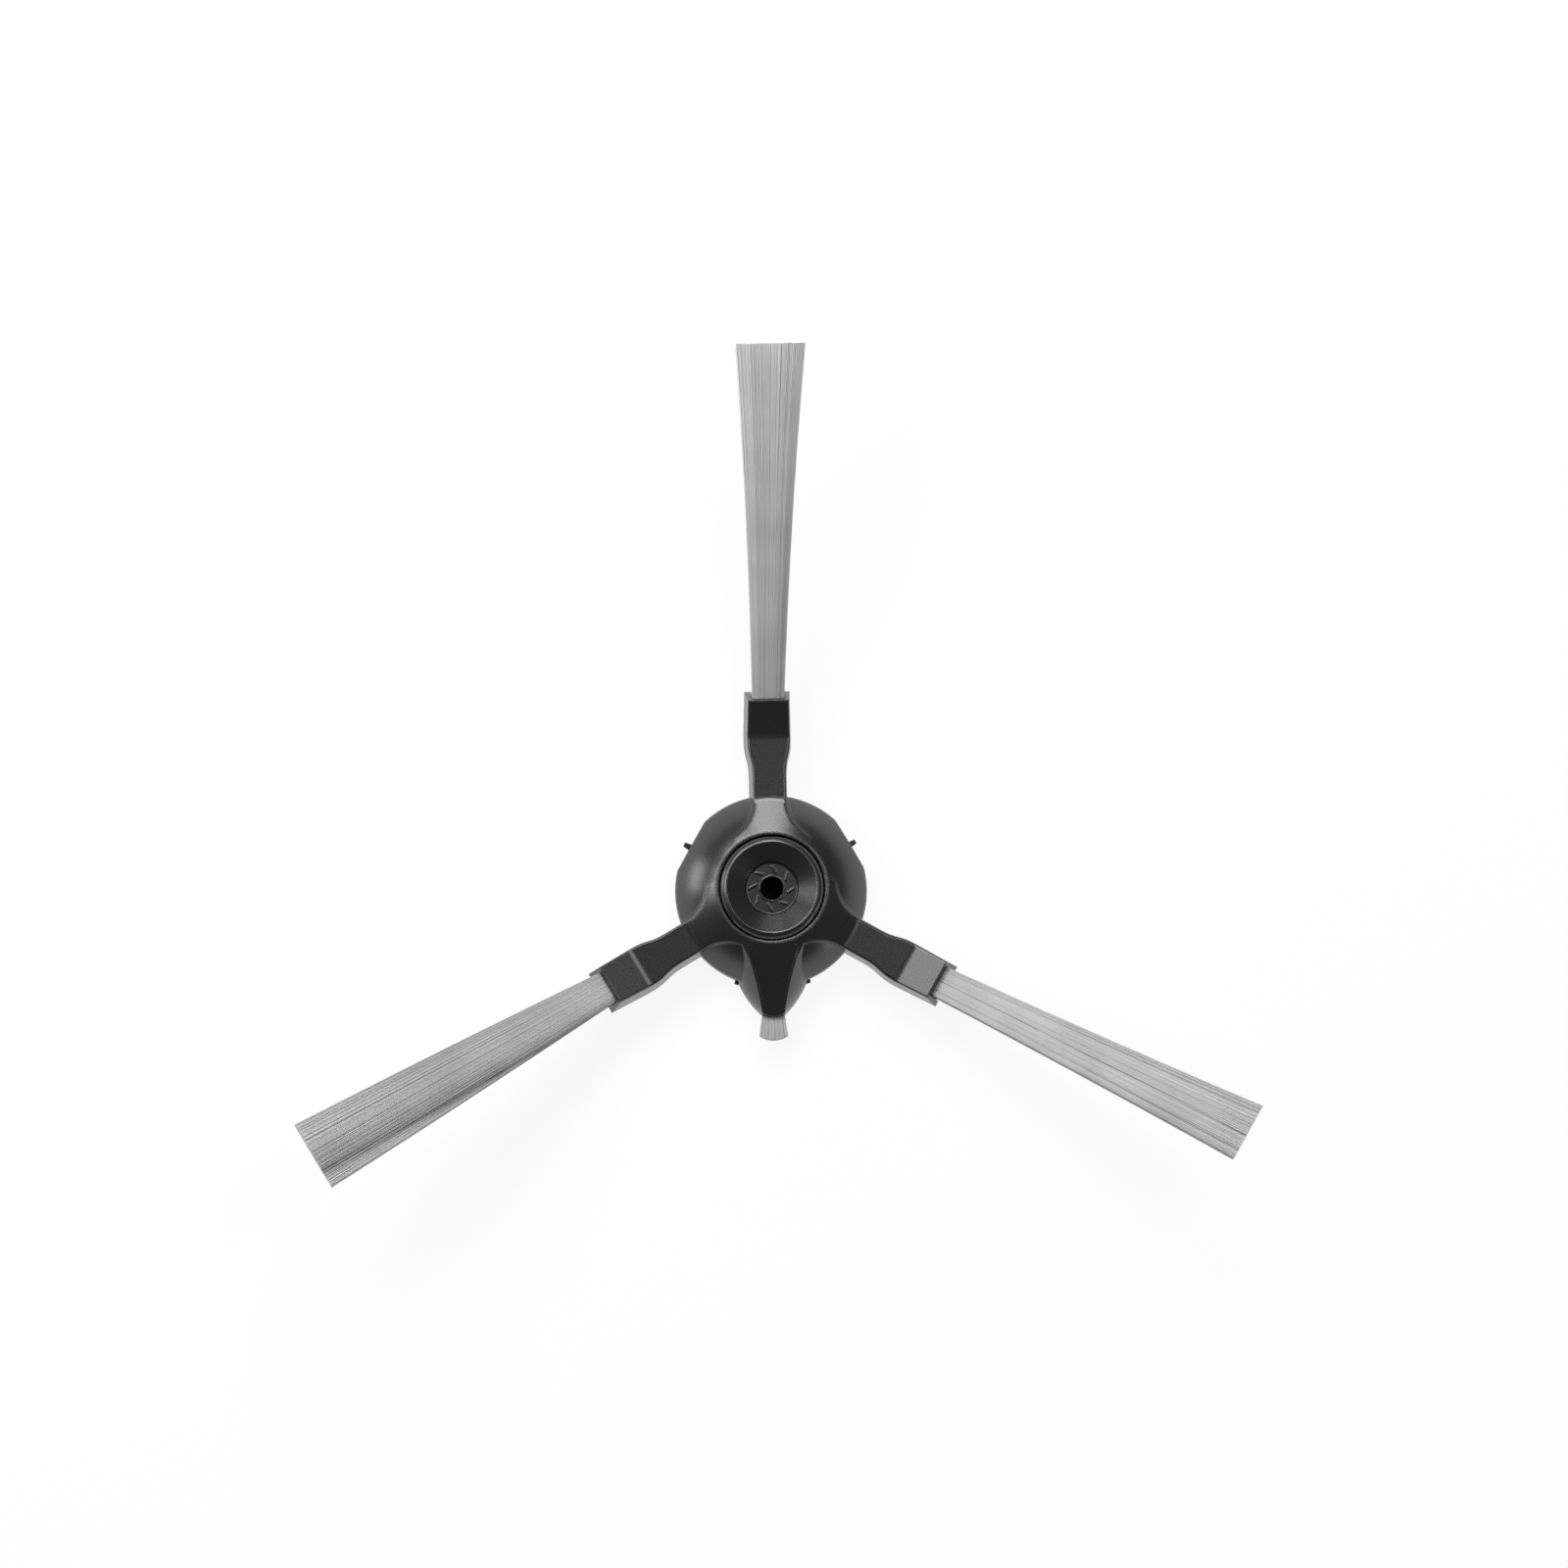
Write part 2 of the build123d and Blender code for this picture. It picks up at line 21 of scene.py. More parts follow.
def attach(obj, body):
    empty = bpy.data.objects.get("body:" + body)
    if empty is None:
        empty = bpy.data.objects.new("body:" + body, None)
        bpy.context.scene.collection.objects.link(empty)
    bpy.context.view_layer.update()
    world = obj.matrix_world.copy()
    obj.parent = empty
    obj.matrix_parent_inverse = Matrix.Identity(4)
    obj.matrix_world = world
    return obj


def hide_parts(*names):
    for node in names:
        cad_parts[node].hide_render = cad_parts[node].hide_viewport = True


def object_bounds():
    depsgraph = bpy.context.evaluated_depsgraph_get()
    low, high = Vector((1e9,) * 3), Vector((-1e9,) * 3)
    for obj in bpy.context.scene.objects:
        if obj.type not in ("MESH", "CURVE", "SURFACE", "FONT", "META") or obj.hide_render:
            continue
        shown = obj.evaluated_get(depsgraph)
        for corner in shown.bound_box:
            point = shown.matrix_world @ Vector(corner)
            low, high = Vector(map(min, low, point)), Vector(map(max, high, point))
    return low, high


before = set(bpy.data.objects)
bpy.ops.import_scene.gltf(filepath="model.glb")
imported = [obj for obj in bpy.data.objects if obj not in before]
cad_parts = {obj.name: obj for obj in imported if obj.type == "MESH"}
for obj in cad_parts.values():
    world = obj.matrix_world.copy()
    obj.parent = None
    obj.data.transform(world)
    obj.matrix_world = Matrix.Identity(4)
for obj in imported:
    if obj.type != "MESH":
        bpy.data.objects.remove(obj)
cad_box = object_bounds()

bl_info = {
    "name": "Side brush",
    "version": (1, 0, 0),
    "blender": (4, 5, 0),
    "location": "3D View > Sidebar > Side brush",
    "description": "Finishes the plastic, the tufts and the stage of a robot vacuum's side brush",
    "category": "Object",
}

BODY = "root"
LONG_TUFTS = ("bristle_tuft_1", "bristle_tuft_2", "bristle_tuft_3")
SHORT_TUFT = "short_tuft"
SHADE_LAYER = "filament_shade"

# A streak runs from one place across the tuft at its root to another at its tip, as shares of the
# tuft's width. Shades and depths go from 0, the deep colour, to 1, the pale one.
Streak = namedtuple("Streak", "root tip width depth")
# Each tuft's shade is the nylon's own tone, set a little apart for each tuft as painted light. The side
# light is painted light that makes one side paler. The tip light is painted light that makes the tip
# paler. The folds' filaments lie lower and carry painted shade.
TuftToneAndPaintedLight = namedtuple("TuftToneAndPaintedLight", "shade side_light tip_light folds")
LONG_TONES_AND_PAINTED_LIGHT = (
    TuftToneAndPaintedLight(
        shade=0.275,
        side_light=0.11,
        tip_light=0.38,
        folds=(
            Streak(root=0.1, tip=0.03, width=0.12, depth=0.12),
            Streak(root=0.32, tip=0.32, width=0.03, depth=0.03),
            Streak(root=0.57, tip=0.57, width=0.04, depth=0.04),
            Streak(root=0.72, tip=0.72, width=0.02, depth=0.05),
        ),
    ),
    TuftToneAndPaintedLight(
        shade=0.28,
        side_light=0.0,
        tip_light=0.17,
        folds=(
            Streak(root=1.06, tip=0.79, width=0.07, depth=0.2),
            Streak(root=1.0, tip=0.67, width=0.2, depth=0.15),
        ),
    ),
    TuftToneAndPaintedLight(
        shade=0.31,
        side_light=0.0,
        tip_light=0.08,
        folds=(
            Streak(root=0.0, tip=0.0, width=0.05, depth=0.1),
            Streak(root=0.17, tip=0.14, width=0.02, depth=0.12),
            Streak(root=0.5, tip=0.42, width=0.02, depth=0.15),
            Streak(root=0.6, tip=0.6, width=0.03, depth=0.05),
            Streak(root=0.86, tip=0.86, width=0.015, depth=0.07),
            Streak(root=0.93, tip=0.93, width=0.012, depth=0.07),
        ),
    ),
)
# The short tuft gets the palest shade. This is painted light that makes up for the tail's shadow on it.
SHORT_TONE_AND_PAINTED_LIGHT = TuftToneAndPaintedLight(shade=1.0, side_light=0.0, tip_light=0.0, folds=())

# The narrowest faint line is the widest one's width by this, and the palest the darkest one's depth.
LINE_WIDTH_RATIO = 3
LINE_DEPTH_RATIO = 2
# Half the length of tuft, in metres, whose corners give its outline at one place.
STATION_REACH = 0.0003

# Values between which most of a noise texture lies.
NOISE_LOW = 0.3
NOISE_HIGH = 0.7
# Moulded plastic: soft clouds in the colour, and a grain in the gloss and the relief.
PLASTIC_SPECULAR = 0.8
PLASTIC_CLOUD_SIZE = 0.012
PLASTIC_CLOUD_DETAIL = 3.0
PLASTIC_CLOUD_CONTRAST = 0.14
PLASTIC_GRAIN_DETAIL = 2.0
PLASTIC_GRAIN_GLOSS = 0.02
PLASTIC_GRAIN_STRENGTH = 0.06
EDGE_SAMPLES = 8
# Nylon: soft clouds in the shade, and a grain as wide as a filament in the gloss and the relief.
NYLON_SPECULAR = 0.4
NYLON_CLOUD_SIZE = 0.006
NYLON_CLOUD_CONTRAST = 0.03
NYLON_NOISE_DETAIL = 0.0
NYLON_GRAIN_GLOSS = 0.06
NYLON_GRAIN_STRENGTH = 0.1
NYLON_WIDTH_TO_RELIEF = 20

# Half the floor's width and its gap under the brush, in metres.
FLOOR_REACH = 12.0
FLOOR_GAP = 0.0002
FLOOR_ROUGHNESS = 0.9
# Upward lean of a ray that still meets the walls, and of one that meets the ceiling.
WALL_TOP = 0.05
CEILING_EDGE = 0.2
SENSOR_WIDTH = 36.0
SOFTBOX_DISTANCE = 0.9
SOFTBOX_SIZE = 0.36
# Name, azimuth and elevation in degrees, and the stage's setting for the power.
# Azimuth 0 is along +Y and grows towards -X.
SOFTBOXES = (
    ("key_softbox", 0.0, 44.0, "key_power"),
    ("corner_softbox", 35.0, 44.0, "corner_power"),
    ("side_softbox", 75.0, 44.0, "side_power"),
    ("low_softbox", 75.0, 6.0, "low_power"),
    ("fill_softbox", -60.0, 66.0, "fill_power"),
    ("low_fill_softbox", -120.0, 6.0, "low_fill_power"),
)


class SideBrushPlastic(bpy.types.PropertyGroup):
    """Colours and finish of the moulded plastic."""

    shell_colour: FloatVectorProperty(
        name="Shell colour",
        description="Charcoal of the domed hub and its arms",
        subtype="COLOR",
        default=(0.008, 0.008, 0.0085),
        min=0.0,
        max=1.0,
    )
    insert_colour: FloatVectorProperty(
        name="Insert colour",
        description="Charcoal of the drive insert",
        subtype="COLOR",
        default=(0.007, 0.007, 0.0075),
        min=0.0,
        max=1.0,
    )
    cover_colour: FloatVectorProperty(
        name="Cover colour",
        description="Charcoal of the back cover",
        subtype="COLOR",
        default=(0.008, 0.008, 0.0085),
        min=0.0,
        max=1.0,
    )
    roughness: FloatProperty(
        name="Roughness",
        description="Roughness of the satin skin",
        subtype="FACTOR",
        default=0.28,
        min=0.0,
        max=1.0,
    )
    edge_softness: FloatProperty(
        name="Edge softness",
        description="How far the moulding's edges are rounded over",
        unit="LENGTH",
        default=0.0003,
        min=0.0,
        max=0.002,
        precision=4,
    )
    root_softness: FloatProperty(
        name="Root softness",
        description="How far the arms' roots are rounded into the dome",
        unit="LENGTH",
        default=0.0011,
        min=0.0,
        max=0.002,
        precision=4,
    )
    root_radius: FloatProperty(
        name="Root radius",
        description="Distance from the hub's axis within which the arms' roots lie",
        unit="LENGTH",
        default=0.0158,
        precision=4,
    )
    tail_start: FloatProperty(
        name="Tail start",
        description="Distance from the hub's axis, towards the tail, past which the edges are crisp",
        unit="LENGTH",
        default=0.009,
        precision=4,
    )
    grain_size: FloatProperty(
        name="Grain size",
        description="Distance between the grains of the moulded skin",
        unit="LENGTH",
        default=0.00022,
        min=0.00005,
        max=0.002,
        precision=5,
    )
    grain_depth: FloatProperty(
        name="Grain depth",
        description="Height of the grains of the moulded skin",
        unit="LENGTH",
        default=0.000012,
        min=0.0,
        max=0.0005,
        precision=6,
    )


class SideBrushBristles(bpy.types.PropertyGroup):
    """Numbers, sizes and colours of the nylon filaments."""

    filament_width: FloatProperty(
        name="Filament width",
        description="Diameter of one nylon filament",
        unit="LENGTH",
        default=0.00017,
        min=0.00005,
        max=0.001,
        precision=5,
    )
    columns: IntProperty(
        name="Columns",
        description="Filaments across a long tuft",
        default=64,
        min=4,
        max=120,
    )
    rows: IntProperty(
        name="Rows",
        description="Filaments through a long tuft's thickness",
        default=22,
        min=2,
        max=40,
    )
    short_columns: IntProperty(
        name="Short columns",
        description="Filaments across the short tuft",
        default=34,
        min=4,
        max=80,
    )
    short_rows: IntProperty(
        name="Short rows",
        description="Filaments through the short tuft's thickness",
        default=14,
        min=2,
        max=40,
    )
    sides: IntProperty(
        name="Sides",
        description="Flat sides round one filament",
        default=4,
        min=3,
        max=12,
    )
    stations: IntProperty(
        name="Stations",
        description="Points along one filament",
        default=8,
        min=3,
        max=40,
    )
    jitter: FloatProperty(
        name="Jitter",
        description="How far a filament strays from its place in the rows, in filament spacings",
        subtype="FACTOR",
        default=0.3,
        min=0.0,
        max=0.5,
    )
    line_count: IntProperty(
        name="Faint lines",
        description="Lines of paler or darker filaments along a tuft",
        default=12,
        min=0,
        max=60,
    )
    line_width: FloatProperty(
        name="Line width",
        description="Width of the widest faint line, as a share of the tuft's width",
        subtype="FACTOR",
        default=0.045,
        min=0.001,
        max=1.0,
    )
    line_depth: FloatProperty(
        name="Line depth",
        description="Difference in shade of the strongest faint line",
        subtype="FACTOR",
        default=0.05,
        min=0.0,
        max=1.0,
    )
    fold_depth: FloatProperty(
        name="Fold depth",
        description="How far a fold of depth 1 lowers the filaments, as a share of the tuft's thickness",
        subtype="FACTOR",
        default=0.45,
        min=0.0,
        max=1.0,
    )
    shade_scatter: FloatProperty(
        name="Shade scatter",
        description="Difference in shade between neighbouring filaments",
        subtype="FACTOR",
        default=0.02,
        min=0.0,
        max=1.0,
    )
    cut_scatter: FloatProperty(
        name="Cut scatter",
        description="Difference in length between the filaments at the cut end",
        unit="LENGTH",
        default=0.00006,
        min=0.0,
        max=0.005,
        precision=5,
    )
    pale_colour: FloatVectorProperty(
        name="Pale colour",
        description="Lightest filaments",
        subtype="COLOR",
        default=(0.96, 0.96, 0.96),
        min=0.0,
        max=1.0,
    )
    deep_colour: FloatVectorProperty(
        name="Deep colour",
        description="Darkest filaments",
        subtype="COLOR",
        default=(0.2, 0.2, 0.2),
        min=0.0,
        max=1.0,
    )
    roughness: FloatProperty(
        name="Roughness",
        description="Roughness of the nylon",
        subtype="FACTOR",
        default=0.5,
        min=0.0,
        max=1.0,
    )
    arm_heading: FloatProperty(
        name="First arm's heading",
        description="Direction of the first arm, seen from the floor side",
        subtype="ANGLE",
        default=math.radians(90.0),
    )
    arm_rise: FloatProperty(
        name="Rise",
        description="Angle between a long tuft and the hub's back",
        subtype="ANGLE",
        default=math.radians(20.0),
    )
    long_root: FloatProperty(
        name="Long root",
        description="Length of a long tuft that is hidden in its arm",
        unit="LENGTH",
        default=0.0052,
        precision=4,
    )
    short_root: FloatProperty(
        name="Short root",
        description="Length of the short tuft that is hidden in the tail",
        unit="LENGTH",
        default=0.0045,
        precision=4,
    )
    hidden_length: FloatProperty(
        name="Hidden length",
        description="How far the shown filaments reach into the arm",
        unit="LENGTH",
        default=0.0022,
        precision=4,
    )
    short_end_radius: FloatProperty(
        name="Short tuft's end",
        description="Radius of the short tuft's rounded end",
        unit="LENGTH",
        default=0.004,
        precision=4,
    )


class SideBrushStage(bpy.types.PropertyGroup):
    """Camera, floor and softboxes."""

    frame_width: FloatProperty(
        name="Frame width",
        description="Width that the picture takes in, at the height of the hub's top",
        unit="LENGTH",
        default=0.2528,
        precision=4,
    )
    camera_distance: FloatProperty(
        name="Camera distance",
        description="Distance from the camera to the middle of the picture",
        unit="LENGTH",
        default=2.4,
    )
    aim: FloatVectorProperty(
        name="Aim",
        description="Point in the middle of the picture",
        subtype="TRANSLATION",
        default=(0.00225, 0.01671, 0.010),
        precision=5,
    )
    camera_lean: FloatVectorProperty(
        name="Camera lean",
        description="Sideways and forward lean of the line of sight, for each metre of height",
        size=2,
        default=(-0.025, -0.085),
    )
    camera_roll: FloatProperty(
        name="Camera roll",
        description="Turn of the brush in the picture",
        subtype="ANGLE",
        default=math.radians(1.1),
    )
    floor_colour: FloatVectorProperty(
        name="Floor colour",
        description="Pale floor",
        subtype="COLOR",
        default=(0.9, 0.9, 0.9),
        min=0.0,
        max=1.0,
    )
    floor_glow: FloatProperty(
        name="Floor glow",
        description="Share of plain white in the floor that the camera sees",
        subtype="FACTOR",
        default=0.9,
        min=0.0,
        max=1.0,
    )
    # Painted shadow: the floor under the hub is painted dark, and it has no glow within this radius.
    painted_shadow_colour: FloatVectorProperty(
        name="Covered colour",
        description="Floor under the hub, which shows through the screw hole",
        subtype="COLOR",
        default=(0.05, 0.05, 0.05),
        min=0.0,
        max=1.0,
    )
    painted_shadow_radius: FloatProperty(
        name="Covered radius",
        description="Radius of the dark floor under the hub",
        unit="LENGTH",
        default=0.012,
        precision=4,
    )
    key_power: FloatProperty(
        name="Key softbox",
        description="Power of the softbox behind the first arm",
        unit="POWER",
        default=3.9,
    )
    corner_power: FloatProperty(
        name="Corner softbox",
        description="Power of the softbox behind the first arm, on the left",
        unit="POWER",
        default=3.0,
    )
    side_power: FloatProperty(
        name="Side softbox",
        description="Power of the softbox on the left",
        unit="POWER",
        default=2.6,
    )
    low_power: FloatProperty(
        name="Low softbox",
        description="Power of the softbox near the floor on the left",
        unit="POWER",
        default=1.9,
    )
    fill_power: FloatProperty(
        name="Fill softbox",
        description="Power of the softbox over the right side",
        unit="POWER",
        default=1.5,
    )
    low_fill_power: FloatProperty(
        name="Low fill softbox",
        description="Power of the softbox near the floor on the right",
        unit="POWER",
        default=1.1,
    )
    horizon: FloatProperty(
        name="Horizon",
        description="Brightness of the room's pale walls",
        default=0.9,
        min=0.0,
    )
    ceiling: FloatProperty(
        name="Ceiling",
        description="Brightness of the room's ceiling",
        default=0.12,
        min=0.0,
    )


def link(tree, source, target):
    """Joins two sockets of a node tree."""
    tree.links.new(source, target)


def new_material(name):
    """A fresh node material, its tree, and its surface shader."""
    material = bpy.data.materials.new(name)
    material.use_nodes = True
    return material, material.node_tree, material.node_tree.nodes["Principled BSDF"]


def noise(tree, position, size, detail):
    """A noise texture whose features are about one size apart."""
    texture = tree.nodes.new("ShaderNodeTexNoise")
    texture.inputs["Scale"].default_value = 1.0 / size
    texture.inputs["Detail"].default_value = detail
    link(tree, position.outputs["Object"], texture.inputs["Vector"])
    return texture


def between(tree, factor, low, high):
    """Maps a noise's middle range to the range from low to high."""
    remap = tree.nodes.new("ShaderNodeMapRange")
    remap.inputs["From Min"].default_value = NOISE_LOW
    remap.inputs["From Max"].default_value = NOISE_HIGH
    remap.inputs["To Min"].default_value = low
    remap.inputs["To Max"].default_value = high
    link(tree, factor, remap.inputs["Value"])
    return remap.outputs["Result"]


def calculate(tree, operation, first, second):
    """Result of a sum on one socket and another socket or number."""
    node = tree.nodes.new("ShaderNodeMath")
    node.operation = operation
    link(tree, first, node.inputs[0])
    if isinstance(second, float):
        node.inputs[1].default_value = second
    else:
        link(tree, second, node.inputs[1])
    return node.outputs["Value"]


def mix_colours(tree, factor, first, second):
    """A colour between two others, by a factor socket."""
    mix = tree.nodes.new("ShaderNodeMix")
    mix.data_type = "RGBA"
    mix.inputs["A"].default_value = (*first, 1.0)
    mix.inputs["B"].default_value = (*second, 1.0)
    link(tree, factor, mix.inputs["Factor"])
    return mix.outputs["Result"]


def distance_from_origin(tree, position):
    """Distance of a surface point from its object's origin."""
    distance = tree.nodes.new("ShaderNodeVectorMath")
    distance.operation = "LENGTH"
    link(tree, position.outputs["Object"], distance.inputs[0])
    return distance.outputs["Value"]


def relief(tree, height, strength, depth):
    """A bump node that a height socket drives."""
    bump = tree.nodes.new("ShaderNodeBump")
    bump.inputs["Strength"].default_value = strength
    bump.inputs["Distance"].default_value = depth
    link(tree, height, bump.inputs["Height"])
    return bump


def root_mask(tree, position, look):
    """One where the arms run into the dome, and zero on the tail and further out."""
    parts = tree.nodes.new("ShaderNodeSeparateXYZ")
    link(tree, position.outputs["Object"], parts.inputs["Vector"])
    near = calculate(tree, "LESS_THAN", distance_from_origin(tree, position), look.root_radius)
    clear = calculate(tree, "GREATER_THAN", parts.outputs["Y"], -look.tail_start)
    return calculate(tree, "MULTIPLY", near, clear)


def moulded_plastic(name, colour, look, soft_roots=False):
    """Satin moulded plastic: fine grain, and a skin that is a little uneven in colour and gloss."""
    material, tree, shader = new_material(name)
    position = tree.nodes.new("ShaderNodeTexCoord")
    shader.inputs["Specular IOR Level"].default_value = PLASTIC_SPECULAR
    cloud = noise(tree, position, PLASTIC_CLOUD_SIZE, PLASTIC_CLOUD_DETAIL)
    shaded = [channel * (1.0 - PLASTIC_CLOUD_CONTRAST) for channel in colour]
    lit = [channel * (1.0 + PLASTIC_CLOUD_CONTRAST) for channel in colour]
    tone = mix_colours(tree, between(tree, cloud.outputs["Fac"], 0.0, 1.0), shaded, lit)
    link(tree, tone, shader.inputs["Base Color"])
    grain = noise(tree, position, look.grain_size, PLASTIC_GRAIN_DETAIL)
    gloss = between(
        tree,
        grain.outputs["Fac"],
        look.roughness - PLASTIC_GRAIN_GLOSS,
        look.roughness + PLASTIC_GRAIN_GLOSS,
    )
    link(tree, gloss, shader.inputs["Roughness"])
    edge = tree.nodes.new("ShaderNodeBevel")
    edge.samples = EDGE_SAMPLES
    edge.inputs["Radius"].default_value = look.edge_softness
    if soft_roots:
        rounder = calculate(
            tree,
            "MULTIPLY",
            root_mask(tree, position, look),
            look.root_softness - look.edge_softness,
        )
        link(tree, calculate(tree, "ADD", rounder, look.edge_softness), edge.inputs["Radius"])
    bump = relief(tree, grain.outputs["Fac"], PLASTIC_GRAIN_STRENGTH, look.grain_depth)
    link(tree, edge.outputs["Normal"], bump.inputs["Normal"])
    link(tree, bump.outputs["Normal"], shader.inputs["Normal"])
    return material


def nylon(look):
    """Dull nylon whose filaments differ a little in shade at random, and more by the painted light and
    shade that each tuft carries.
    """
    material, tree, shader = new_material("bristle_nylon")
    position = tree.nodes.new("ShaderNodeTexCoord")
    shader.inputs["Specular IOR Level"].default_value = NYLON_SPECULAR
    shade = tree.nodes.new("ShaderNodeVertexColor")
    shade.layer_name = SHADE_LAYER
    cloud = noise(tree, position, NYLON_CLOUD_SIZE, NYLON_NOISE_DETAIL)
    unevenness = between(tree, cloud.outputs["Fac"], -NYLON_CLOUD_CONTRAST, NYLON_CLOUD_CONTRAST)
    uneven_shade = calculate(tree, "ADD", shade.outputs["Color"], unevenness)
    tone = mix_colours(tree, uneven_shade, look.deep_colour, look.pale_colour)
    link(tree, tone, shader.inputs["Base Color"])
    grain = noise(tree, position, look.filament_width, NYLON_NOISE_DETAIL)
    gloss = between(
        tree,
        grain.outputs["Fac"],
        look.roughness - NYLON_GRAIN_GLOSS,
        look.roughness + NYLON_GRAIN_GLOSS,
    )
    link(tree, gloss, shader.inputs["Roughness"])
    depth = look.filament_width / NYLON_WIDTH_TO_RELIEF
    bump = relief(tree, grain.outputs["Fac"], NYLON_GRAIN_STRENGTH, depth)
    link(tree, bump.outputs["Normal"], shader.inputs["Normal"])
    return material


def dress_node(name, material):
    """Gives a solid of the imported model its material."""
    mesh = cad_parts[name].data
    mesh.materials.clear()
    mesh.materials.append(material)


class Bundle:
    """Directions and outlines of a tuft, read from its solid.

    Along it, up through its thickness and across it are its own directions. It leaves the arm at its
    exit, past a root that is hidden. A rounded tuft has no straight end, so its tip's outline is taken
    from its whole outer half.
    """

    def __init__(self, node, heading, rise, root, rounded=False):
        self.along = Vector(
            (math.cos(heading) * math.cos(rise), math.sin(heading) * math.cos(rise), math.sin(rise))
        )
        self.across = Vector((-math.sin(heading), math.cos(heading), 0.0))
        self.up = self.along.cross(self.across)
        self.slant = math.tan(rise)
        self.points = [
            (v.co.dot(self.across), v.co.dot(self.up), v.co.dot(self.along))
            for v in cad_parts[node].data.vertices
        ]
        self.exit = min(point[2] for point in self.points) + root
        self.end = max(point[2] for point in self.points)
        self.length = self.end - self.exit
        mouth = self.outline(self.exit, STATION_REACH)
        if rounded:
            tip = self.outline(self.end, self.length / 2)
            middle = [(near + far) / 2 for near, far in zip(mouth, tip)]
        else:
            tip = self.outline(self.end, STATION_REACH)
            middle = self.outline(self.exit + self.length / 2, STATION_REACH)
        self.outlines = (mouth, middle, tip)

    def outline(self, station, depth):
        """Left, right, lowest and highest reach of the solid around a distance along it."""
        near = [point for point in self.points if abs(point[2] - station) < depth]
        if not near:
            raise RuntimeError(f"the tuft's solid has no corners near {station:.4f} m")
        across = [point[0] for point in near]
        up = [point[1] for point in near]
        return min(across), max(across), min(up), max(up)

    def reach(self, share):
        """The outline at a share of the free length, on a smooth curve through the three known ones."""
        weights = (
            (2 * share - 1) * (share - 1),
            4 * share * (1 - share),
            share * (2 * share - 1),
        )
        return [sum(w * outline[i] for w, outline in zip(weights, self.outlines)) for i in range(4)]

    def place(self, across, up, along):
        """A point of the frame from its distances in the tuft's own directions."""
        return self.across * across + self.up * up + self.along * along


def faint_lines(rng, look):
    """Straight lines of paler or darker filaments, at chance places across a tuft."""
    lines = []
    for _ in range(look.line_count):
        place = rng.random()
        width = rng.uniform(look.line_width / LINE_WIDTH_RATIO, look.line_width)
        depth = rng.uniform(-look.line_depth / LINE_DEPTH_RATIO, look.line_depth)
        lines.append(Streak(place, place, width, depth))
    return lines


def darkening(streaks, across, share):
    """How much darker the streaks make a filament, at a share of the tuft's width and of its length."""
    dark = 0.0
    for streak in streaks:
        place = streak.root + (streak.tip - streak.root) * share
        width = streak.width * (1 + share) / 2
        dark += streak.depth * math.exp(-(((across - place) / width) ** 2))
    return dark


def tube_mesh(name, paths, ring):
    """One mesh of closed tubes along paths, with a shade for each tube's points and crisp cut ends."""
    corners = []
    faces = []
    shades = []
    ends = set()
    sides = len(ring)
    for path, shade in paths:
        first = len(corners)
        for point, tone in zip(path, shade):
            corners.extend(point + corner for corner in ring)
            shades.extend((tone, tone, tone, 1.0) * sides)
        for station in range(len(path) - 1):
            base = first + station * sides
            for side in range(sides):
                after = (side + 1) % sides
                faces.append((base + side, base + after, base + sides + after, base + sides + side))
        faces.append(tuple(range(first + sides - 1, first - 1, -1)))
        faces.append(tuple(range(len(corners) - sides, len(corners))))
        ends.update((first // sides, len(corners) // sides - 1))
    mesh = bpy.data.meshes.new(name)
    mesh.from_pydata(corners, [], faces, shade_flat=False)
    rings = [(a // sides, b // sides) for a, b in mesh.edge_keys]
    mesh.edges.foreach_set("use_edge_sharp", [a == b and a in ends for a, b in rings])
    colours = mesh.color_attributes.new(SHADE_LAYER, "FLOAT_COLOR", "POINT")
    colours.data.foreach_set("color", shades)
    mesh.update()
    return mesh


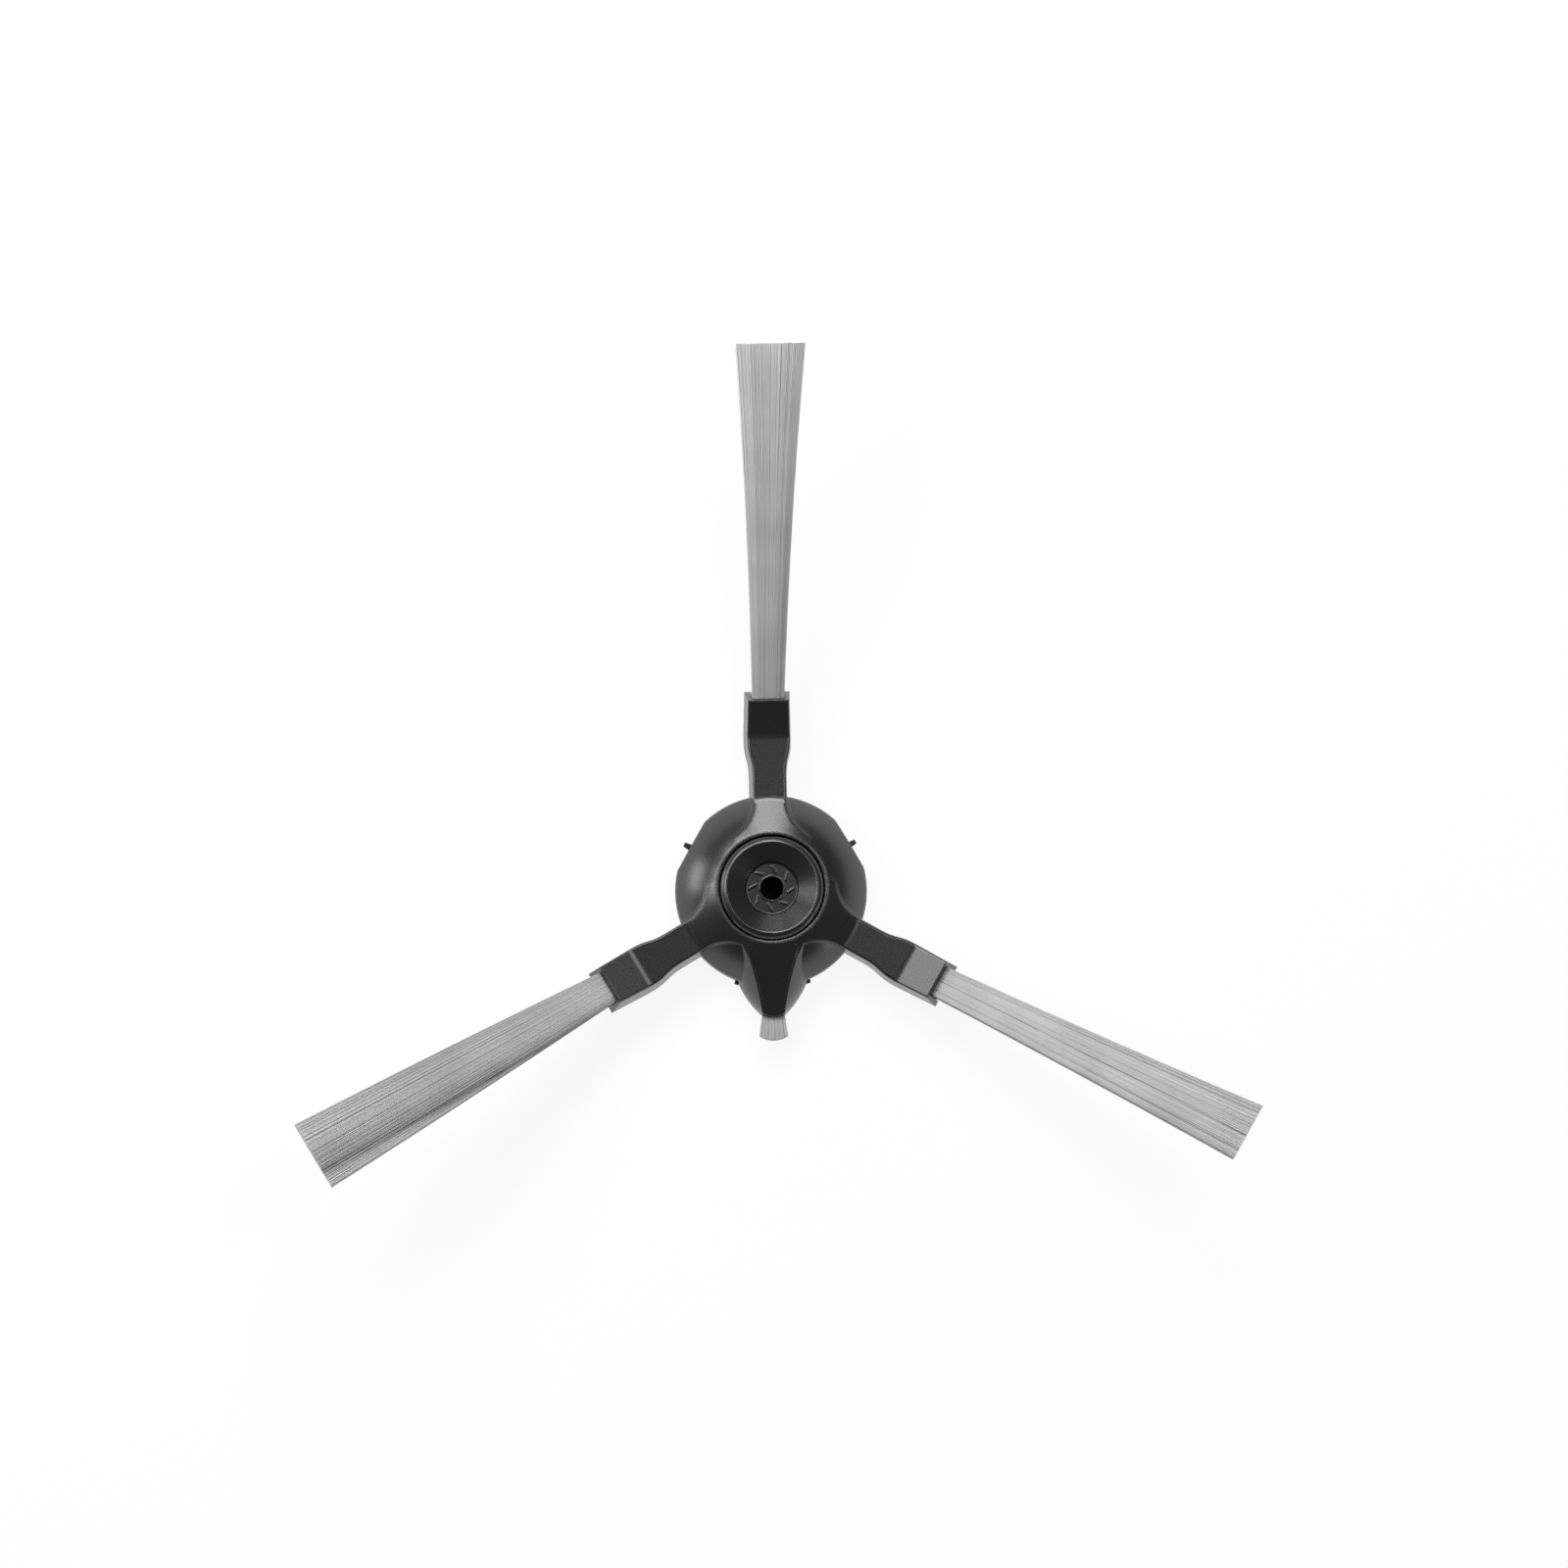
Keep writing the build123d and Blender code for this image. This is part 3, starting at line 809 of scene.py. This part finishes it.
def grow_tuft(node, bundle, look, columns, rows, seed, tone_and_painted_light, end_radius=None):
    """A tuft of separate filaments in the form of its solid, which it stands for.

    The filaments fan out straight from the arm to the end, which is cut upright: the higher ones are
    longer. A painted side light makes those on one side paler, and a painted tip light makes all of them
    paler towards the tip. The filaments of a fold lie lower and carry painted shade. An end radius rounds
    the cut.
    """
    rng = random.Random(seed)
    lines = faint_lines(rng, look)
    radius = look.filament_width / 2
    ring = [
        bundle.across * (radius * math.cos(turn)) + bundle.up * (radius * math.sin(turn))
        for turn in (2 * math.pi * side / look.sides for side in range(look.sides))
    ]
    start = bundle.exit - look.hidden_length
    shares = [station / (look.stations - 1) for station in range(look.stations)]
    outlines = [bundle.reach(share) for share in shares]
    _, _, tip_low, tip_high = outlines[-1]
    upright = bundle.slant * (tip_high - tip_low)
    paths = []
    for column in range(columns):
        for row in range(rows):
            across = (column + 0.5 + rng.uniform(-look.jitter, look.jitter)) / columns
            up = (row + 0.5 + rng.uniform(-look.jitter, look.jitter)) / rows
            tone = tone_and_painted_light.shade + rng.uniform(-look.shade_scatter, look.shade_scatter)
            # Painted side light: one side of the tuft is paler.
            tone += tone_and_painted_light.side_light * (across - 0.5)
            cut = bundle.end + rng.uniform(-look.cut_scatter, 0.0)
            cut += upright * up * (1.0 - look.fold_depth * darkening(tone_and_painted_light.folds, across, 1.0))
            path = []
            shade = []
            for share, (left, right, low, high) in zip(shares, outlines):
                sunk = darkening(tone_and_painted_light.folds, across, share)
                x = left + radius + (right - left - 2 * radius) * across
                y = low + radius + (high - low - 2 * radius) * up * (1.0 - look.fold_depth * sunk)
                end = cut
                if end_radius is not None:
                    middle = (left + right) / 2
                    end += math.sqrt(max(end_radius**2 - (x - middle) ** 2, 0.0)) - end_radius
                path.append(bundle.place(x, y, start + (end - start) * share))
                # The tip light is painted light, and the folds' darkening is painted shade. The faint
                # lines are tone that differs at random.
                shade.append(tone + tone_and_painted_light.tip_light * share**2 - sunk - darkening(lines, across, share))
            paths.append((path, [min(max(level, 0.0), 1.0) for level in shade]))
    tuft = bpy.data.objects.new(f"{node}_filaments", tube_mesh(f"{node}_filaments", paths, ring))
    bpy.context.scene.collection.objects.link(tuft)
    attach(tuft, BODY)
    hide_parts(node)
    return tuft


class SIDEBRUSH_OT_finish_shell(bpy.types.Operator):
    """Gives the domed hub, its arms and its tail their satin skin"""

    bl_idname = "side_brush.finish_shell"
    bl_label = "Finish hub shell"

    def execute(self, context):
        look = context.scene.side_brush_plastic
        dress_node("hub_shell", moulded_plastic("shell_plastic", look.shell_colour, look, soft_roots=True))
        return {"FINISHED"}


class SIDEBRUSH_OT_finish_insert(bpy.types.Operator):
    """Gives the drive insert its satin skin"""

    bl_idname = "side_brush.finish_insert"
    bl_label = "Finish drive insert"

    def execute(self, context):
        look = context.scene.side_brush_plastic
        dress_node("drive_hub", moulded_plastic("insert_plastic", look.insert_colour, look))
        return {"FINISHED"}


class SIDEBRUSH_OT_finish_cover(bpy.types.Operator):
    """Gives the back cover its satin skin"""

    bl_idname = "side_brush.finish_cover"
    bl_label = "Finish back cover"

    def execute(self, context):
        look = context.scene.side_brush_plastic
        dress_node("back_cover", moulded_plastic("cover_plastic", look.cover_colour, look))
        return {"FINISHED"}


class SIDEBRUSH_OT_grow_long_tufts(bpy.types.Operator):
    """Fills each arm with a splayed tuft of nylon filaments"""

    bl_idname = "side_brush.grow_long_tufts"
    bl_label = "Grow long tufts"

    def execute(self, context):
        look = context.scene.side_brush_bristles
        material = nylon(look)
        for number, node in enumerate(LONG_TUFTS):
            heading = look.arm_heading + number * 2 * math.pi / len(LONG_TUFTS)
            bundle = Bundle(node, heading, look.arm_rise, look.long_root)
            tuft = grow_tuft(
                node,
                bundle,
                look,
                look.columns,
                look.rows,
                number,
                LONG_TONES_AND_PAINTED_LIGHT[number],
            )
            tuft.data.materials.append(material)
        return {"FINISHED"}


class SIDEBRUSH_OT_grow_short_tuft(bpy.types.Operator):
    """Fills the tail's nose with a short tuft of nylon filaments"""

    bl_idname = "side_brush.grow_short_tuft"
    bl_label = "Grow short tuft"

    def execute(self, context):
        look = context.scene.side_brush_bristles
        heading = look.arm_heading + math.pi
        bundle = Bundle(SHORT_TUFT, heading, 0.0, look.short_root, rounded=True)
        tuft = grow_tuft(
            SHORT_TUFT,
            bundle,
            look,
            look.short_columns,
            look.short_rows,
            len(LONG_TUFTS),
            SHORT_TONE_AND_PAINTED_LIGHT,
            end_radius=look.short_end_radius,
        )
        tuft.data.materials.append(bpy.data.materials["bristle_nylon"])
        return {"FINISHED"}


def add_softbox(name, azimuth, elevation, power):
    """A square softbox that faces the hub, in a direction given in degrees."""
    turn = math.radians(azimuth)
    lift = math.radians(elevation)
    direction = Vector(
        (-math.sin(turn) * math.cos(lift), math.cos(turn) * math.cos(lift), math.sin(lift))
    )
    lamp = bpy.data.lights.new(name, "AREA")
    lamp.shape = "SQUARE"
    lamp.size = SOFTBOX_SIZE
    lamp.energy = power
    softbox = bpy.data.objects.new(name, lamp)
    softbox.location = direction * SOFTBOX_DISTANCE
    softbox.rotation_euler = (-direction).to_track_quat("-Z", "Y").to_euler()
    softbox.visible_camera = False
    bpy.context.scene.collection.objects.link(softbox)


def add_floor(stage):
    """A pale floor under the brush, which shows almost white and keeps a soft shadow.

    Under the hub it has a painted shadow, a dark disc without the glow, which shows through the screw
    hole.
    """
    mesh = bpy.data.meshes.new("floor")
    corners = [(x * FLOOR_REACH, y * FLOOR_REACH, 0.0) for x, y in ((-1, -1), (1, -1), (1, 1), (-1, 1))]
    mesh.from_pydata(corners, [], [(0, 1, 2, 3)])
    floor = bpy.data.objects.new("floor", mesh)
    floor.location.z = cad_box[0].z - FLOOR_GAP
    bpy.context.scene.collection.objects.link(floor)
    material, tree, shader = new_material("pale_floor")
    shader.inputs["Roughness"].default_value = FLOOR_ROUGHNESS
    glow = tree.nodes.new("ShaderNodeEmission")
    rays = tree.nodes.new("ShaderNodeLightPath")
    seen = rays.outputs["Is Camera Ray"]
    for ray in ("Is Glossy Ray", "Is Transmission Ray"):
        seen = calculate(tree, "MAXIMUM", seen, rays.outputs[ray])
    position = tree.nodes.new("ShaderNodeTexCoord")
    distance = distance_from_origin(tree, position)
    # Within the radius the floor is painted dark, a painted shadow under the hub.
    beside_painted_shadow = calculate(tree, "GREATER_THAN", distance, stage.painted_shadow_radius)
    floor_with_painted_shadow = mix_colours(tree, beside_painted_shadow, stage.painted_shadow_colour, stage.floor_colour)
    link(tree, floor_with_painted_shadow, shader.inputs["Base Color"])
    seen = calculate(tree, "MULTIPLY", seen, beside_painted_shadow)
    mix = tree.nodes.new("ShaderNodeMixShader")
    link(tree, calculate(tree, "MULTIPLY", seen, stage.floor_glow), mix.inputs["Fac"])
    link(tree, shader.outputs[0], mix.inputs[1])
    link(tree, glow.outputs[0], mix.inputs[2])
    link(tree, mix.outputs[0], tree.nodes["Material Output"].inputs["Surface"])
    mesh.materials.append(material)


def light_room(stage):
    """A room with pale walls and a dim ceiling."""
    world = bpy.data.worlds.new("studio_room")
    world.use_nodes = True
    bpy.context.scene.world = world
    tree = world.node_tree
    position = tree.nodes.new("ShaderNodeTexCoord")
    parts = tree.nodes.new("ShaderNodeSeparateXYZ")
    link(tree, position.outputs["Generated"], parts.inputs["Vector"])
    height = tree.nodes.new("ShaderNodeMapRange")
    height.interpolation_type = "SMOOTHSTEP"
    height.inputs["From Min"].default_value = WALL_TOP
    height.inputs["From Max"].default_value = CEILING_EDGE
    height.inputs["To Min"].default_value = stage.horizon
    height.inputs["To Max"].default_value = stage.ceiling
    link(tree, parts.outputs["Z"], height.inputs["Value"])
    background = tree.nodes["Background"]
    background.inputs["Color"].default_value = (1.0, 1.0, 1.0, 1.0)
    link(tree, height.outputs["Result"], background.inputs["Strength"])


def add_camera(stage):
    """A long lens almost straight above the hub, leaning towards the tail."""
    toward = Vector((stage.camera_lean[0], stage.camera_lean[1], 1.0)).normalized()
    up = Vector((math.sin(stage.camera_roll), math.cos(stage.camera_roll), 0.0))
    right = up.cross(toward).normalized()
    up = toward.cross(right)
    data = bpy.data.cameras.new("camera")
    data.sensor_width = SENSOR_WIDTH
    data.lens = data.sensor_width * stage.camera_distance / stage.frame_width
    camera = bpy.data.objects.new("camera", data)
    place = Vector(stage.aim) + toward * stage.camera_distance
    camera.matrix_world = Matrix.Translation(place) @ Matrix((right, up, toward)).transposed().to_4x4()
    bpy.context.scene.collection.objects.link(camera)
    bpy.context.scene.camera = camera


class SIDEBRUSH_OT_set_stage(bpy.types.Operator):
    """Adds the floor, the softboxes, the room's light and the camera"""

    bl_idname = "side_brush.set_stage"
    bl_label = "Set stage"

    def execute(self, context):
        stage = context.scene.side_brush_stage
        add_floor(stage)
        light_room(stage)
        for name, azimuth, elevation, power in SOFTBOXES:
            add_softbox(name, azimuth, elevation, getattr(stage, power))
        add_camera(stage)
        context.scene.view_settings.view_transform = "Standard"
        return {"FINISHED"}


class SIDEBRUSH_PT_panel(bpy.types.Panel):
    """Lists the steps that finish the side brush"""

    bl_label = "Side brush"
    bl_idname = "SIDEBRUSH_PT_panel"
    bl_space_type = "VIEW_3D"
    bl_region_type = "UI"
    bl_category = "Side brush"

    def draw(self, context):
        for step in STEPS:
            self.layout.operator(step.bl_idname)


SETTINGS = (
    ("side_brush_plastic", SideBrushPlastic),
    ("side_brush_bristles", SideBrushBristles),
    ("side_brush_stage", SideBrushStage),
)
STEPS = (
    SIDEBRUSH_OT_finish_shell,
    SIDEBRUSH_OT_finish_insert,
    SIDEBRUSH_OT_finish_cover,
    SIDEBRUSH_OT_grow_long_tufts,
    SIDEBRUSH_OT_grow_short_tuft,
    SIDEBRUSH_OT_set_stage,
)


def register():
    """Makes the settings, the steps and the panel known to Blender."""
    for name, group in SETTINGS:
        bpy.utils.register_class(group)
        setattr(bpy.types.Scene, name, PointerProperty(type=group))
    for step in STEPS:
        bpy.utils.register_class(step)
    bpy.utils.register_class(SIDEBRUSH_PT_panel)


def unregister():
    """Takes the settings, the steps and the panel out of Blender again."""
    bpy.utils.unregister_class(SIDEBRUSH_PT_panel)
    for step in reversed(STEPS):
        bpy.utils.unregister_class(step)
    for name, group in reversed(SETTINGS):
        delattr(bpy.types.Scene, name)
        bpy.utils.unregister_class(group)


def main():
    """Runs every step in order."""
    register()
    bpy.ops.side_brush.finish_shell()
    bpy.ops.side_brush.finish_insert()
    bpy.ops.side_brush.finish_cover()
    bpy.ops.side_brush.grow_long_tufts()
    bpy.ops.side_brush.grow_short_tuft()
    bpy.ops.side_brush.set_stage()


if __name__ == "__main__":
    main()
